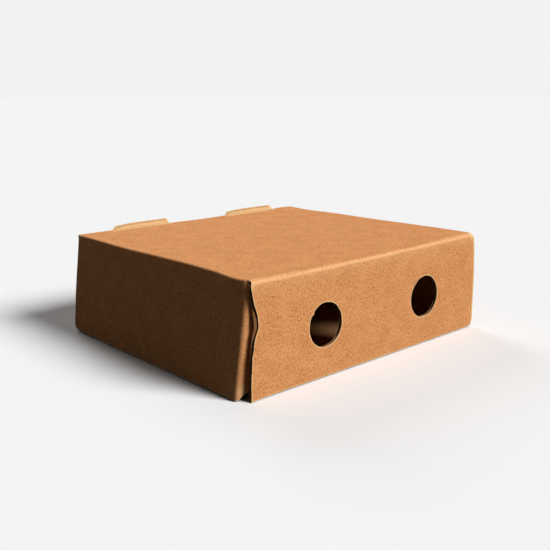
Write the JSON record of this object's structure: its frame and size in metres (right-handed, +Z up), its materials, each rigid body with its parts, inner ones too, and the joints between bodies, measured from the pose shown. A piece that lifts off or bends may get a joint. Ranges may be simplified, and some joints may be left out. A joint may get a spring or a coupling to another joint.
{
  "type": "chip box",
  "caption": "Shallow folded kraft corrugated food box with a hinged full-depth lid, round steam vents in the front and stand-up tabs along the hinge.",
  "frame": {"origin": "on the underside of the tray's floor, where the box stands, midway across the box and midway between the lid's front edge at the table and the back wall", "axes": "+X along the vented front to the right, +Y from the front to the hinge, +Z up"},
  "size_m": [0.1618, 0.1424, 0.0529],
  "materials": {
    "kraft_board": "matte brown kraft liner with fine fibre speckle"
  },
  "bodies": {
    "tray": {"tray": "kraft_board"},
    "lid": {"lid": "kraft_board"}
  },
  "joints": [
    {"name": "lid_hinge", "type": "hinge", "parent": "tray", "child": "lid", "pos_m": [0, 0.07125, 0.0503], "axis": [-1, 0, 0], "range_deg": [0, 180]}
  ]
}
